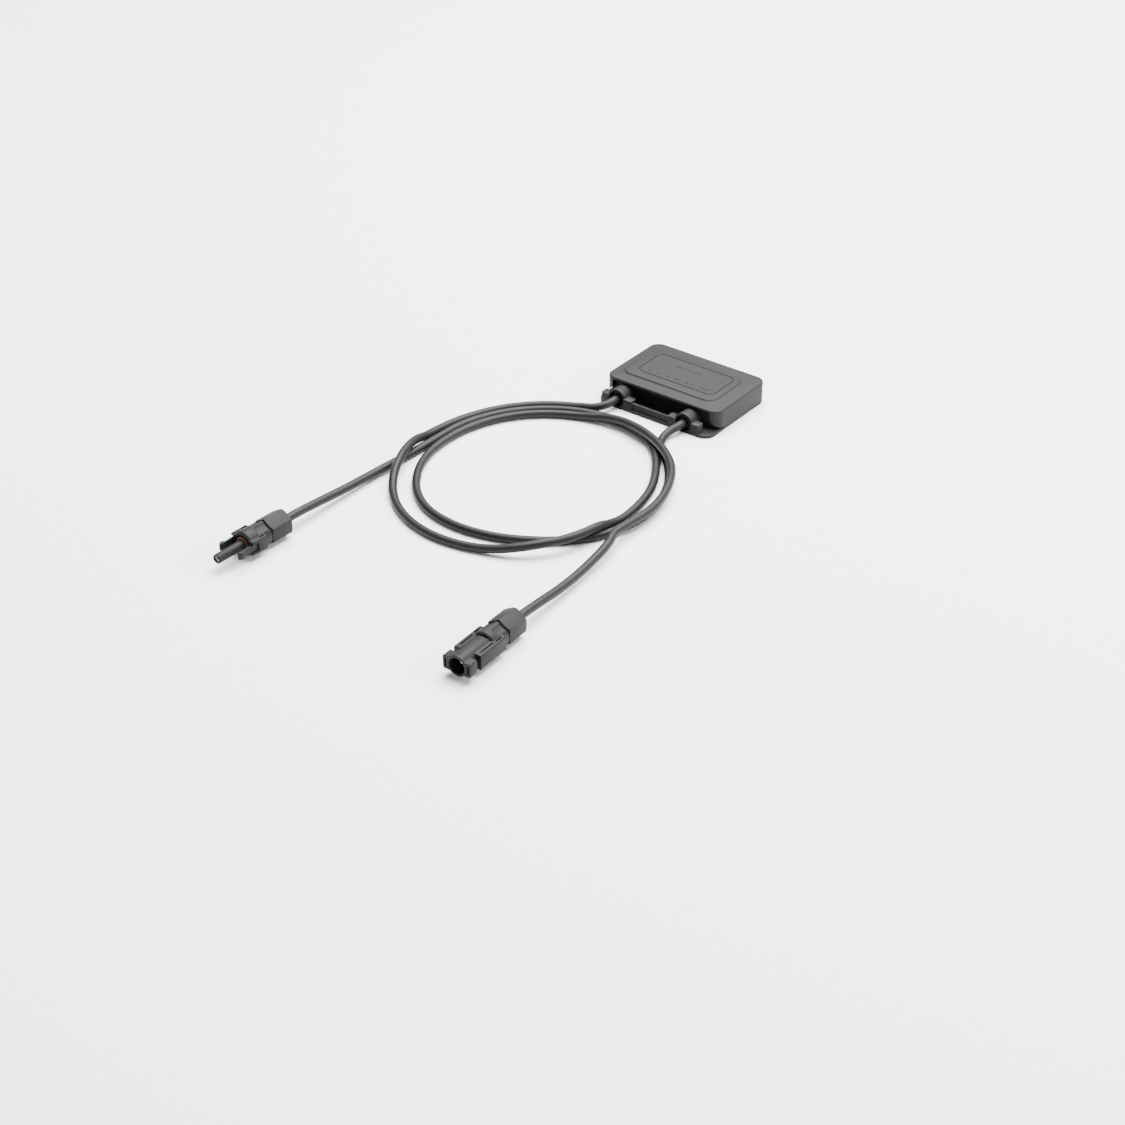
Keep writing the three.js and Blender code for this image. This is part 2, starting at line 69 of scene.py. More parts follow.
def node_box(node):
    """A node's lowest and highest corners in millimetres."""
    low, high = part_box(node)
    return low / MM, high / MM


def joint(name):
    """The place and direction of a joint's axis, in millimetres."""
    found = next(j for j in frame["joints"] if j["name"] == name)
    return Vector(found["pos_m"]) / MM, Vector(found["axis"]).normalized()


COVER_LOW, COVER_HIGH = node_box("cover")
BASE_LOW, BASE_HIGH = node_box("base_housing")
SEALS = {side: node_box(side + "_cable_seal") for side in ("left", "right")}
CLAMPS = {side: node_box(side + "_cable_clamp") for side in ("left", "right")}
RAILS = [node_box(f"terminal_rail_{i}") for i in range(1, 5)]

CABLE_DIAMETER = 6.3
CABLE_RADIUS = CABLE_DIAMETER / 2
GAP = 0.3

# Box
FLOOR = 2.2
COVER_CORNER = 8.5
COVER_WALL = 2.0
PLATEAU = (-43, -17.5, 39, 25, 8)
PANEL_LINE = (-35.5, -9.3, 33.5, 23.5, 6)
PLATEAU_RISE = 1.2
LID_TOP = COVER_HIGH.z - PLATEAU_RISE
OPENING_HALF = 43.5
OPENING_TOP = 15.6
OPENING_FLARE = 11.0
TUB_HALF = 47.8
TUB_FRONT = -24.4
TUB_WALL = 2.0
TUB_TOP = 13.0
TUB_CORNER = 6.0
APRON_BACK = -18.3
APRON_CORNER = 9.0
FOOT_HALF = 13.8
FOOT_FRONT = -38.8
FOOT_BACK = -31.8
FOOT_TOP = 9.0
LEDGE_TOP = 7.3
GLAND_Z = 6.9
GLAND_RADIUS = 7.7
GLAND_BORE = 6.0
GLAND_RIM = -37.6
GLAND_INNER = -21.0
SHEATH_IN_BOX = (-35.7, -16.5)
WINDOW = (-30, 21, 30, 30.5)
GLANDS = {side: (SEALS[side][0].x + SEALS[side][1].x) / 2 for side in SEALS}

# Connectors, along their own +Y from the mating end
NUT_FRONT = 44.0
NUT_AXIS_AT = 52.0
CONNECTOR_LENGTH = 62.5
NUT_CORNER = 10.1
BODY_RADIUS = 9.0
WING_HALF = 10.6
WING_HEIGHT = 5.4
CHAMBER = 5.4
STUB = 6.8
STUB_END = 49.0
SHELL_BARREL = 7.4
SHELL_BORE = 5.9
SHELL_WALL = 25.5
PROBE_FRONT = 24.0
PROBE_RECESS = 6.8
PROBE_TUBE = 3.5
PROBE_BORE = 2.0
PROBE_RING = (4.65, 0.8)
FINGER_HEIGHT = 2.6
SHEATH_IN_NUT = (41.5, 56.6)
LEAD_END_IN_NUT = 58
ROUND_SIDES = 72

# Leads: the free stretches are points, and each turn of the coil is worked out
# from stations of (angle in degrees, radius, height) round the coil's middle.
COIL_MIDDLE = Vector((-14, -150, 0))
TURN_STEP = 8.0
LEFT_GLAND_RUN = [
    (-32.5, -36.2, 6.9), (-32.5, -40, 6.85), (-33.6, -46.2, 6.2), (-36.9, -51.6, 5.2),
    (-42.2, -55.6, 4.3), (-48.4, -58, 3.7),
]
LEFT_TURNS = [
    (115, 98.1, 3.25), (140, 97.9, 3.15), (165, 98, 3.15), (185, 99.1, 4.2), (190, 99.7, 6.2),
    (195, 100.2, 8.2), (203, 101.2, 9.7), (210, 102.6, 9.7), (217, 104.8, 8.5),
    (225, 107.4, 5.6), (235, 110, 3.4),
    (250, 112.6, 3.15), (265, 112.8, 3.15), (280, 110.6, 3.3), (290, 109, 5),
    (300, 107.2, 8), (308, 104, 9.5), (316, 99.8, 9.6), (324, 94.8, 9.6), (332, 90.2, 9.3),
    (336, 87.8, 7.8), (340, 85.8, 5.4), (350, 82.4, 3.3), (360, 79.8, 3.15), (380, 78.2, 3.15),
    (400, 79.2, 3.15), (420, 84.6, 3.15), (435, 88.6, 3.15), (450, 91, 3.15), (464, 91.3, 3.15),
    (500, 91, 3.15), (540, 91.4, 3.15),
]
PROBE_RUN = [
    (-105.8, -168, 3.15), (-106.6, -190, 3.15), (-107.2, -211, 4.2), (-107.7, -230, 4.9),
    (-108.1, -258, 6.3), (-108.4, -286, 8.6), (-108.5, -306, 10), (-108.59, -318.05, 10.2),
]
RIGHT_GLAND_RUN = [
    (28, -36.2, 6.9), (27.8, -39.8, 6.8), (26.7, -45, 6.1), (25.2, -50.2, 5.2), (24.9, -56, 4.3),
    (26.3, -62.7, 3.5), (30.3, -69.7, 3.2),
]
RIGHT_TURNS = [
    (55, 89.9, 3.15), (40, 88.3, 3.15), (20, 88.9, 3.15), (0, 90.3, 3.15), (-20, 92, 3.15),
    (-30, 92.4, 3.15), (-40, 91.9, 3.15), (-50, 91.3, 3.15), (-60, 91, 3.15), (-75, 91.9, 3.15),
    (-90, 93.3, 3.15), (-110, 94.5, 3.15), (-125, 93, 3.15), (-140, 90.2, 3.15),
    (-160, 87.3, 3.15), (-180, 85, 3.15), (-220, 84.6, 3.15), (-250, 84.8, 3.4),
    (-260, 85.3, 5.2), (-270, 86.2, 7.4), (-285, 85.9, 8.9), (-300, 86.6, 9.3),
    (-312, 87.8, 9.5), (-325, 89.8, 9.4), (-340, 91.2, 9.2), (-360, 94, 8.4), (-370, 95.6, 8.6),
    (-378, 98.2, 9.1),
]
SHELL_RUN = [
    (79.3, -193, 9.3), (83.3, -207, 8.7), (86.4, -230, 7.3), (88.8, -262, 7),
    (90.1, -293, 9.2), (90.6, -306, 10.1), (90.97, -316.26, 10.2),
]


# Stage, in metres
VIEW_FROM = (0.859, -1.279, 0.850)
VIEW_TOWARDS = Vector((-0.5076, 0.6688, -0.5432))
FLOOR_HALF = 6


# Meshes: closed shapes as (corners, faces), joined and cut into one body


def rounded(x0, y0, x1, y1, radius, steps=9):
    """A rectangle with round corners, anticlockwise."""
    middles = [(x1 - radius, y0 + radius), (x1 - radius, y1 - radius),
               (x0 + radius, y1 - radius), (x0 + radius, y0 + radius)]
    points = []
    for corner, (cx, cy) in enumerate(middles):
        for step in range(steps + 1):
            angle = math.pi / 2 * (corner - 1 + step / steps)
            points.append((cx + radius * math.cos(angle), cy + radius * math.sin(angle)))
    return points


def stacked(loops):
    """A closed shape through loops of (outline, height), from the lowest to the last."""
    count = len(loops[0][0])
    corners = [(x, y, z) for outline, z in loops for x, y in outline]
    faces = [list(range(count))[::-1]]
    for level in range(len(loops) - 1):
        low = level * count
        for i in range(count):
            j = (i + 1) % count
            faces.append([low + i, low + j, low + count + j, low + count + i])
    faces.append([(len(loops) - 1) * count + i for i in range(count)])
    return corners, faces


def upright(outline, low, high):
    return stacked([(outline, low), (outline, high)])


def along_y(outline, front, back):
    """An outline of (x, z) drawn out along Y."""
    corners, faces = stacked([(outline, front), (outline, back)])
    return [(x, y, z) for x, z, y in corners], faces


def block(x0, y0, z0, x1, y1, z1):
    return upright([(x0, y0), (x1, y0), (x1, y1), (x0, y1)], z0, z1)


def turned(profile, sides=ROUND_SIDES, at=(0, 0)):
    """A profile of (radius, y) turned about Y. It starts and ends on the axis, or is a ring."""
    corners, rows = [], []
    for radius, y in profile:
        if radius < 1e-6:
            rows.append([len(corners)] * sides)
            corners.append((at[0], y, at[1]))
            continue
        rows.append(list(range(len(corners), len(corners) + sides)))
        for i in range(sides):
            angle = 2 * math.pi * (i + 0.5) / sides
            corners.append((at[0] + radius * math.cos(angle), y, at[1] + radius * math.sin(angle)))
    pairs = list(zip(rows, rows[1:]))
    if profile[0][0] > 1e-6:
        pairs.append((rows[-1], rows[0]))
    faces = []
    for near, far in pairs:
        for i in range(sides):
            j = (i + 1) % sides
            face = list(dict.fromkeys([near[i], near[j], far[j], far[i]]))
            if len(face) > 2:
                faces.append(face)
    return corners, faces


def rod(radius, y0, y1, at=(0, 0), sides=ROUND_SIDES):
    return turned([(0, y0), (radius, y0), (radius, y1), (0, y1)], sides, at)


def screw_hole(x, y, radius, low, high):
    corners, faces = rod(radius, low, high, sides=24)
    return [(x + cx, y - cz, cy) for cx, cy, cz in corners], faces


def moved(shape, change):
    """A shape with a function applied to its corners."""
    return [change(*corner) for corner in shape[0]], shape[1]


def mirrored(*box):
    x0, y0, z0, x1, y1, z1 = box
    return [block(*box), block(-x1, y0, z0, -x0, y1, z1)]


def raw_object(name, shape):
    mesh = bpy.data.meshes.new(name)
    mesh.from_pydata([Vector(c) * MM for c in shape[0]], [], shape[1])
    body = bmesh.new()
    body.from_mesh(mesh)
    bmesh.ops.recalc_face_normals(body, faces=body.faces)
    body.to_mesh(mesh)
    body.free()
    made = bpy.data.objects.new(name, mesh)
    bpy.context.scene.collection.objects.link(made)
    return made


def settled(made):
    """The object's mesh with its modifiers applied."""
    bpy.context.view_layer.update()
    graph = bpy.context.evaluated_depsgraph_get()
    mesh = bpy.data.meshes.new_from_object(made.evaluated_get(graph))
    old = made.data
    made.modifiers.clear()
    made.data = mesh
    mesh.name = made.name
    bpy.data.meshes.remove(old)


def moulded(name, first, joined=(), cut=(), within=None, edge=0.25, place=None, steps=2):
    """One body from closed shapes: first and joined, less cut, with its sharp edges rounded."""
    made = raw_object(name, first)
    tools = []
    work = [("UNION", shape) for shape in joined]
    work += [("INTERSECT", shape) for shape in ([within] if within else [])]
    work += [("DIFFERENCE", shape) for shape in cut]
    for operation, shape in work:
        tool = raw_object(name + "_tool", shape)
        tools.append(tool)
        boolean = made.modifiers.new(operation, "BOOLEAN")
        boolean.operation = operation
        boolean.solver = "EXACT"
        boolean.object = tool
    settled(made)
    for tool in tools:
        mesh = tool.data
        bpy.data.objects.remove(tool)
        bpy.data.meshes.remove(mesh)
    body = bmesh.new()
    body.from_mesh(made.data)
    bmesh.ops.remove_doubles(body, verts=body.verts, dist=0.004 * MM)
    bmesh.ops.dissolve_limit(
        body, angle_limit=math.radians(0.5), verts=body.verts, edges=body.edges,
    )
    body.to_mesh(made.data)
    body.free()
    if edge:
        bevel = made.modifiers.new("edges", "BEVEL")
        bevel.width = edge * MM
        bevel.segments = steps
        bevel.limit_method = "ANGLE"
        bevel.angle_limit = math.radians(28)
        bevel.use_clamp_overlap = True
        bevel.miter_outer = "MITER_ARC"
        settled(made)
    if place:
        made.data.transform(place)
    smooth(made)
    return made


def shape_of(made):
    """Takes an object back as (corners, faces), so that it can go into another body."""
    mesh = made.data
    shape = ([tuple(v.co / MM) for v in mesh.vertices], [list(p.vertices) for p in mesh.polygons])
    bpy.data.objects.remove(made)
    bpy.data.meshes.remove(mesh)
    return shape


def smooth(made, angle=24):
    made.data.shade_smooth()
    made.data.set_sharp_from_angle(angle=math.radians(angle))


def dress(made, finish, slot, body, *nodes):
    """Gives a piece its material, its body and the nodes that it stands for. The slot argument is
    not used.
    """
    made.data.materials.clear()
    made.data.materials.append(finish)
    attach(made, body)
    if nodes:
        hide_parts(*nodes)
    return made


# Finishes


class Value:
    """A shader socket that takes part in Python expressions."""

    def __init__(self, finish, socket):
        self.finish = finish
        self.socket = socket

    def _math(self, operation, first, second):
        return self.finish.node(
            "ShaderNodeMath", {"operation": operation}, {0: first, 1: second}
        )

    def __add__(self, other):
        return self._math("ADD", self, other)

    def __sub__(self, other):
        return self._math("SUBTRACT", self, other)

    def __rsub__(self, other):
        return self._math("SUBTRACT", other, self)

    def __mul__(self, other):
        return self._math("MULTIPLY", self, other)

    __radd__ = __add__
    __rmul__ = __mul__


SOCKETS = {
    "specular": "Specular IOR Level", "metallic": "Metallic", "roughness": "Roughness",
}


class Finish:
    """A material and the nodes that vary it over a surface."""

    def __init__(self, name, **constants):
        self.material = bpy.data.materials.new(name)
        self.material.use_nodes = True
        self.tree = self.material.node_tree
        self.shader = self.tree.nodes["Principled BSDF"]
        for socket, value in constants.items():
            self.shader.inputs[SOCKETS[socket]].default_value = value
        self.place = self.node("ShaderNodeTexCoord", {}, {}, "Object")

    def node(self, kind, settings, inputs, output=0):
        """Adds a node. Its settings go first, then the values or links of its sockets."""
        made = self.tree.nodes.new(kind)
        for name, value in settings.items():
            if name == "stops":
                for stop, (position, shade) in zip(made.color_ramp.elements, value):
                    stop.position = position
                    stop.color = (shade, shade, shade, 1)
            else:
                setattr(made, name, value)
        for name, value in inputs.items():
            if isinstance(value, Value):
                self.tree.links.new(value.socket, made.inputs[name])
            else:
                made.inputs[name].default_value = value
        return Value(self, made.outputs[output])

    def feed(self, name, value):
        self.tree.links.new(value.socket, self.shader.inputs[name])

    def noise(self, size, detail=3.0, roughness=0.5, stretch=(1, 1, 1)):
        """Noise whose lumps are about size millimetres wide."""
        place = self.node(
            "ShaderNodeMapping", {}, {"Vector": self.place, "Scale": stretch}, "Vector"
        )
        return self.node("ShaderNodeTexNoise", {}, {
            "Vector": place, "Scale": 1 / (size * MM), "Detail": detail, "Roughness": roughness,
        }, "Fac")

    def ramp(self, value, low, high):
        return self.node(
            "ShaderNodeValToRGB", {"stops": ((low, 0.0), (high, 1.0))}, {"Fac": value}, "Color"
        )

    def mix(self, factor, first, second):
        made = self.tree.nodes.new("ShaderNodeMix")
        made.data_type = "RGBA"
        for index, value in ((0, factor), (6, first), (7, second)):
            if isinstance(value, Value):
                self.tree.links.new(value.socket, made.inputs[index])
            elif index:
                made.inputs[index].default_value = (*value[:3], 1)
            else:
                made.inputs[index].default_value = value
        return Value(self, made.outputs[2])

    def upward(self):
        """1 on faces that look up, 0 on the sides."""
        normal = self.node("ShaderNodeNewGeometry", {}, {}, "Normal")
        height = self.node("ShaderNodeSeparateXYZ", {}, {0: normal}, "Z")
        return self.ramp(height, 0.55, 0.98)

    def bump(self, *layers):
        """Bumps laid over each other, each as (height, strength, depth in millimetres)."""
        normal = None
        for height, strength, depth in layers:
            inputs = {"Height": height, "Strength": strength, "Distance": depth * MM}
            if normal:
                inputs["Normal"] = normal
            normal = self.node("ShaderNodeBump", {}, inputs, "Normal")
        self.feed("Normal", normal)


def scaled(colour, factor):
    return tuple(min(1.0, c * factor) for c in colour)


def plastic_finish(name, colour, roughness, grain, dust):
    """Moulded plastic: eroded grain, slow shading, a little handling polish and dust on top."""
    finish = Finish(name, specular=0.17)
    slow = finish.noise(26, 4, 0.6)
    grains = finish.noise(grain, 2, 0.7)
    specks = finish.ramp(finish.noise(0.9, 5, 0.75), 0.56, 0.74)
    colour_slow = finish.mix(slow, scaled(colour, 0.82), scaled(colour, 1.2))
    colour_grain = finish.mix(grains * 0.35, colour_slow, scaled(colour, 1.45))
    dusty = finish.upward() * (specks * 0.5 + slow * 0.6) * dust
    finish.feed("Base Color", finish.mix(dusty, colour_grain, (0.34, 0.33, 0.31)))
    finish.feed("Roughness", grains * 0.14 + slow * 0.12 + (roughness - 0.12))
    scuffs = finish.ramp(finish.noise(3.5, 6, 0.6, (1, 5, 1)), 0.62, 0.7)
    finish.bump((grains, 0.32, 0.06), (slow, 0.12, 0.25), (scuffs, 0.06, 0.03))
    return finish.material


def sheath_finish(name, colour):
    """Extruded cable sheath: faint draw lines and a waxy sheen."""
    finish = Finish(name, specular=0.2)
    lumps = finish.noise(9, 3, 0.55)
    fine = finish.noise(0.35, 3, 0.7)
    colour_lumps = finish.mix(lumps, scaled(colour, 0.8), scaled(colour, 1.25))
    rubbed = finish.ramp(finish.noise(4.5, 6, 0.7), 0.58, 0.72) * finish.upward() * 0.04
    finish.feed("Base Color", finish.mix(rubbed, colour_lumps, (0.2, 0.2, 0.2)))
    finish.feed("Roughness", fine * 0.12 + lumps * 0.14 + 0.36)
    finish.bump((fine, 0.22, 0.03), (lumps, 0.2, 0.12))
    return finish.material


def rubber_finish(name, colour, roughness):
    finish = Finish(name, specular=0.15)
    bloom = finish.noise(2.2, 4, 0.65)
    fine = finish.noise(0.25, 2, 0.6)
    finish.feed("Base Color", finish.mix(bloom, scaled(colour, 0.78), scaled(colour, 1.3)))
    finish.feed("Roughness", bloom * 0.15 + (roughness - 0.08))
    finish.bump((fine, 0.25, 0.03), (bloom, 0.15, 0.06))
    return finish.material


def metal_finish(name, colour, roughness, stretch):
    """Plated or rolled metal: fine lines one way, with a faint tarnish."""
    finish = Finish(name, metallic=1.0)
    lines = finish.noise(0.5, 4, 0.6, stretch)
    tarnish = finish.ramp(finish.noise(3.2, 4, 0.6), 0.4, 0.75)
    finish.feed("Base Color", finish.mix(tarnish * 0.45, colour, scaled(colour, 0.62)))
    finish.feed("Roughness", lines * 0.16 + tarnish * 0.12 + (roughness - 0.08))
    finish.bump((lines, 0.18, 0.03))
    return finish.material


def strand_finish(name, colour):
    """Bare stranded copper, with its strands laid at a slant along Y."""
    finish = Finish(name, metallic=1.0)
    place = finish.node(
        "ShaderNodeMapping", {}, {"Vector": finish.place, "Rotation": (0, 0, 0.35)}, "Vector"
    )
    strands = finish.node("ShaderNodeTexWave", {"bands_direction": "X"}, {
        "Vector": place, "Scale": 330.0, "Distortion": 0.6, "Detail": 2.0,
    }, "Fac")
    tarnish = finish.noise(1.6, 4, 0.6)
    finish.feed("Base Color", finish.mix(tarnish, colour, scaled(colour, 0.55)))
    finish.feed("Roughness", tarnish * 0.2 + 0.24)
    finish.bump((strands, 0.6, 0.2))
    return finish.material


def epoxy_finish(name, colour):
    """Moulded epoxy of a diode's body: near black, with a matte speckle."""
    finish = Finish(name, specular=0.4)
    speckle = finish.noise(0.3, 3, 0.75)
    slow = finish.noise(6, 3, 0.5)
    finish.feed("Base Color", finish.mix(speckle, colour, scaled(colour, 1.9)))
    finish.feed("Roughness", speckle * 0.2 + slow * 0.12 + 0.38)
    finish.bump((speckle, 0.3, 0.04))
    return finish.material


def floor_finish(name, colour):
    finish = Finish(name, roughness=0.6, specular=0.2)
    grain = finish.noise(1.2, 4, 0.65)
    finish.feed("Base Color", finish.mix(grain, scaled(colour, 0.965), colour))
    finish.bump((grain, 0.05, 0.06))
    return finish.material


# Settings that a user would change


class JUNCTION_PG_finishes(bpy.types.PropertyGroup):
    """Colours of the box, its leads and its metal."""

    housing: FloatVectorProperty(
        name="Housing", description="Colour of the box's base and cover",
        subtype="COLOR", size=3, min=0, max=1, default=(0.0092, 0.0093, 0.0097),
    )
    connector: FloatVectorProperty(
        name="Connector", description="Colour of the connectors' plastic",
        subtype="COLOR", size=3, min=0, max=1, default=(0.0058, 0.0059, 0.0062),
    )
    sheath: FloatVectorProperty(
        name="Sheath", description="Colour of the leads' sheath",
        subtype="COLOR", size=3, min=0, max=1, default=(0.007, 0.007, 0.0072),
    )
    silicone: FloatVectorProperty(
        name="Silicone", description="Colour of the ring on the probe",
        subtype="COLOR", size=3, min=0, max=1, default=(0.12, 0.035, 0.03),
    )
    roughness: FloatProperty(
        name="Roughness", description="Roughness of the moulded plastic",
        min=0.1, max=1, default=0.56,
    )
    dust: FloatProperty(
        name="Dust", description="Dust on faces that look up", min=0, max=1, default=0.03,
    )


class JUNCTION_PG_sizes(bpy.types.PropertyGroup):
    """Sizes of edges and small details, in metres."""

    cover_edge: FloatProperty(
        name="Cover edge", description="Radius of the cover's upper edge",
        subtype="DISTANCE", min=0.0005, max=0.003, default=0.0013,
    )
    line_depth: FloatProperty(
        name="Line depth", description="Depth of the engraved outline",
        subtype="DISTANCE", min=0.0001, max=0.001, default=0.0005,
    )
    plastic_edge: FloatProperty(
        name="Plastic edge", description="Rounding of moulded edges",
        subtype="DISTANCE", min=0.0001, max=0.0006, default=0.0003,
    )
    sheath_steps: IntProperty(
        name="Sheath steps", description="Curve steps between two points of a lead",
        min=2, max=16, default=6,
    )


class JUNCTION_PG_stage(bpy.types.PropertyGroup):
    """Camera, floor and light."""

    lens: FloatProperty(
        name="Lens", description="Focal length on a 36 mm sensor",
        subtype="DISTANCE_CAMERA", min=20, max=200, default=74.75,
    )
    key_power: FloatProperty(
        name="Key light", description="Power of the large light behind the box",
        subtype="POWER", min=0, default=420.0,
    )
    sky: FloatProperty(
        name="Sky", description="Strength of the light from all round", min=0, default=0.6,
    )
    floor: FloatVectorProperty(
        name="Floor", description="Colour of the floor",
        subtype="COLOR", size=3, min=0, max=1, default=(0.86, 0.86, 0.86),
    )


def settings():
    scene = bpy.context.scene
    return scene.junction_finishes, scene.junction_sizes, scene.junction_stage


def finish_of(kind):
    """A material by its plain name, made once and shared."""
    known = bpy.data.materials.get("jb_" + kind)
    if known:
        return known
    colours = settings()[0]
    rough, dust = colours.roughness, colours.dust
    makers = {
        "housing": lambda n: plastic_finish(n, tuple(colours.housing), rough, 0.45, dust),
        "connector": lambda n: plastic_finish(n, tuple(colours.connector), rough, 0.3, dust * 0.6),
        "cage": lambda n: plastic_finish(n, (0.12, 0.12, 0.12), 0.5, 0.3, 0),
        "sheath": lambda n: sheath_finish(n, tuple(colours.sheath)),
        "rubber": lambda n: rubber_finish(n, (0.005, 0.005, 0.0052), 0.75),
        "silicone": lambda n: rubber_finish(n, tuple(colours.silicone), 0.5),
        "tinned": lambda n: metal_finish(n, (0.66, 0.65, 0.62), 0.34, (1, 9, 1)),
        "steel": lambda n: metal_finish(n, (0.56, 0.57, 0.58), 0.3, (9, 1, 1)),
        "copper": lambda n: strand_finish(n, (0.74, 0.4, 0.24)),
        "epoxy": lambda n: epoxy_finish(n, (0.02, 0.02, 0.022)),
        "floor": lambda n: floor_finish(n, tuple(settings()[2].floor)),
    }
    return makers[kind]("jb_" + kind)


# Stage and leads


class JUNCTION_OT_stage(bpy.types.Operator):
    """Make the camera, the floor and the lights"""

    bl_idname = "junction.stage"
    bl_label = "Stage"

    def execute(self, context):
        stage = settings()[2]
        lens = bpy.data.cameras.new("view")
        lens.lens = stage.lens
        lens.sensor_width = 36
        camera = bpy.data.objects.new("view", lens)
        camera.location = VIEW_FROM
        camera.rotation_euler = VIEW_TOWARDS.to_track_quat("-Z", "Y").to_euler()
        context.scene.collection.objects.link(camera)
        context.scene.camera = camera

        half = FLOOR_HALF / MM
        floor = raw_object("floor", ([
            (-half, -half, 0), (half, -half, 0), (half, half, 0), (-half, half, 0),
        ], [[0, 1, 2, 3]]))
        floor.data.materials.append(finish_of("floor"))

        self.light(context, "key", (-0.1, 0.75, 2.2), (2.6, 2.2), stage.key_power)
        self.light(context, "side", (1.6, 0.5, 0.9), (1.0, 0.8), stage.key_power * 0.07)
        world = bpy.data.worlds.new("sky")
        world.use_nodes = True
        sky = world.node_tree.nodes["Background"]
        sky.inputs["Color"].default_value = (1, 1, 1, 1)
        sky.inputs["Strength"].default_value = stage.sky
        context.scene.world = world
        return {"FINISHED"}

    def light(self, context, name, place, size, power):
        lamp = bpy.data.lights.new(name, "AREA")
        lamp.shape = "RECTANGLE"
        lamp.size, lamp.size_y = size
        lamp.energy = power
        made = bpy.data.objects.new(name, lamp)
        made.location = place
        aim = Vector((0, -0.15, 0)) - Vector(place)
        made.rotation_euler = aim.to_track_quat("-Z", "Y").to_euler()
        context.scene.collection.objects.link(made)


def station_at(stations, angle):
    """Radius and height at an angle, on a smooth line through the stations."""
    turn = 1 if stations[-1][0] > stations[0][0] else -1
    last = len(stations) - 2
    i = next((k for k in range(last) if turn * (stations[k + 1][0] - angle) > 0), last)

    def slope(k, value):
        a, b = stations[max(k - 1, 0)], stations[min(k + 1, len(stations) - 1)]
        return (b[value] - a[value]) / (b[0] - a[0])

    here, there = stations[i], stations[i + 1]
    span = there[0] - here[0]
    t = (angle - here[0]) / span
    blend = []
    for value in (1, 2):
        blend.append(
            (2 * t**3 - 3 * t**2 + 1) * here[value]
            + (t**3 - 2 * t**2 + t) * span * slope(i, value)
            + (3 * t**2 - 2 * t**3) * there[value]
            + (t**3 - t**2) * span * slope(i + 1, value)
        )
    return blend


def turns(stations):
    """Points of the coiled stretch, one every few degrees."""
    first, last = stations[0][0], stations[-1][0]
    count = round(abs(last - first) / TURN_STEP)
    points = []
    for i in range(count + 1):
        angle = first + (last - first) * i / count
        radius, height = station_at(stations, angle)
        a = math.radians(angle)
        points.append((
            COIL_MIDDLE.x + radius * math.cos(a), COIL_MIDDLE.y + radius * math.sin(a), height,
        ))
    return points


def connector_place(name):
    """Where a connector's own axes lie: its mating end, +Y towards its nut, and +Z up."""
    at, along = joint(name + "_nut_turn")
    start = at - along * NUT_AXIS_AT
    across = along.cross(Vector((0, 0, 1)))
    turn = Matrix((across, along, Vector((0, 0, 1)))).transposed().to_4x4()
    return Matrix.Translation(start * MM) @ turn


class JUNCTION_OT_leads(bpy.types.Operator):
    """Make both leads, each as one curve from its gland to its connector"""

    bl_idname = "junction.leads"
    bl_label = "Leads"

    def execute(self, context):
        routes = {
            "left": ("probe", [*LEFT_GLAND_RUN, *turns(LEFT_TURNS), *PROBE_RUN]),
            "right": ("shell", [*RIGHT_GLAND_RUN, *turns(RIGHT_TURNS), *SHELL_RUN]),
        }
        for side, (end, points) in routes.items():
            inside_nut = connector_place(end) @ (Vector((0, LEAD_END_IN_NUT, 0)) * MM)
            places = [Vector(p) * MM for p in points] + [inside_nut]
            lead = self.curve(side + "_lead", places)
            nodes = [side + "_cable_lead", end + "_cable_lead"]
            if side == "left":
                nodes.append("cable_coil")
            dress(lead, finish_of("sheath"), "cable_sheath", "box", *nodes)
            on_it = [n for n in frame["nodes"] if n.startswith(end) and "cable_lead" not in n]
            on_it += ["pin_contact"] if end == "shell" else [
                "socket_contact", "left_latch_finger", "right_latch_finger",
            ]
        return {"FINISHED"}

    def curve(self, name, places):
        line = bpy.data.curves.new(name, "CURVE")
        line.dimensions = "3D"
        line.bevel_depth = CABLE_RADIUS * MM
        line.bevel_resolution = 6
        line.resolution_u = settings()[1].sheath_steps
        line.use_fill_caps = True
        spline = line.splines.new("BEZIER")
        spline.bezier_points.add(len(places) - 1)
        for point, place in zip(spline.bezier_points, places):
            point.co = place
            point.handle_left_type = point.handle_right_type = "AUTO"
        made = bpy.data.objects.new(name, line)
        bpy.context.scene.collection.objects.link(made)
        return made


# Box


def drawn_in(edges, inset):
    """A rounded rectangle of (left, front, right, back, corner), drawn in by an inset."""
    left, front, right, back, corner = edges
    return rounded(left + inset, front + inset, right - inset, back - inset, corner - inset)


def cover_outline(inset):
    return drawn_in((*COVER_LOW.xy, *COVER_HIGH.xy, COVER_CORNER), inset)


def plateau_outline(inset):
    return drawn_in(PLATEAU, inset)


def line_outline(inset):
    return drawn_in(PANEL_LINE, inset)


def fillet(radius, top, steps=6):
    """(inset, height) pairs over a rounded upper edge."""
    pairs = []
    for i in range(steps + 1):
        angle = math.pi / 2 * i / steps
        pairs.append((radius * (1 - math.cos(angle)), top - radius * (1 - math.sin(angle))))
    return pairs


def pad(x0, y0, x1, y1, top):
    """A low raised mark on the plateau, with round ends."""
    radius = min(x1 - x0, y1 - y0) * 0.45
    return upright(rounded(x0, y0, x1, y1, radius, 4), top - 0.6, top + 0.22)


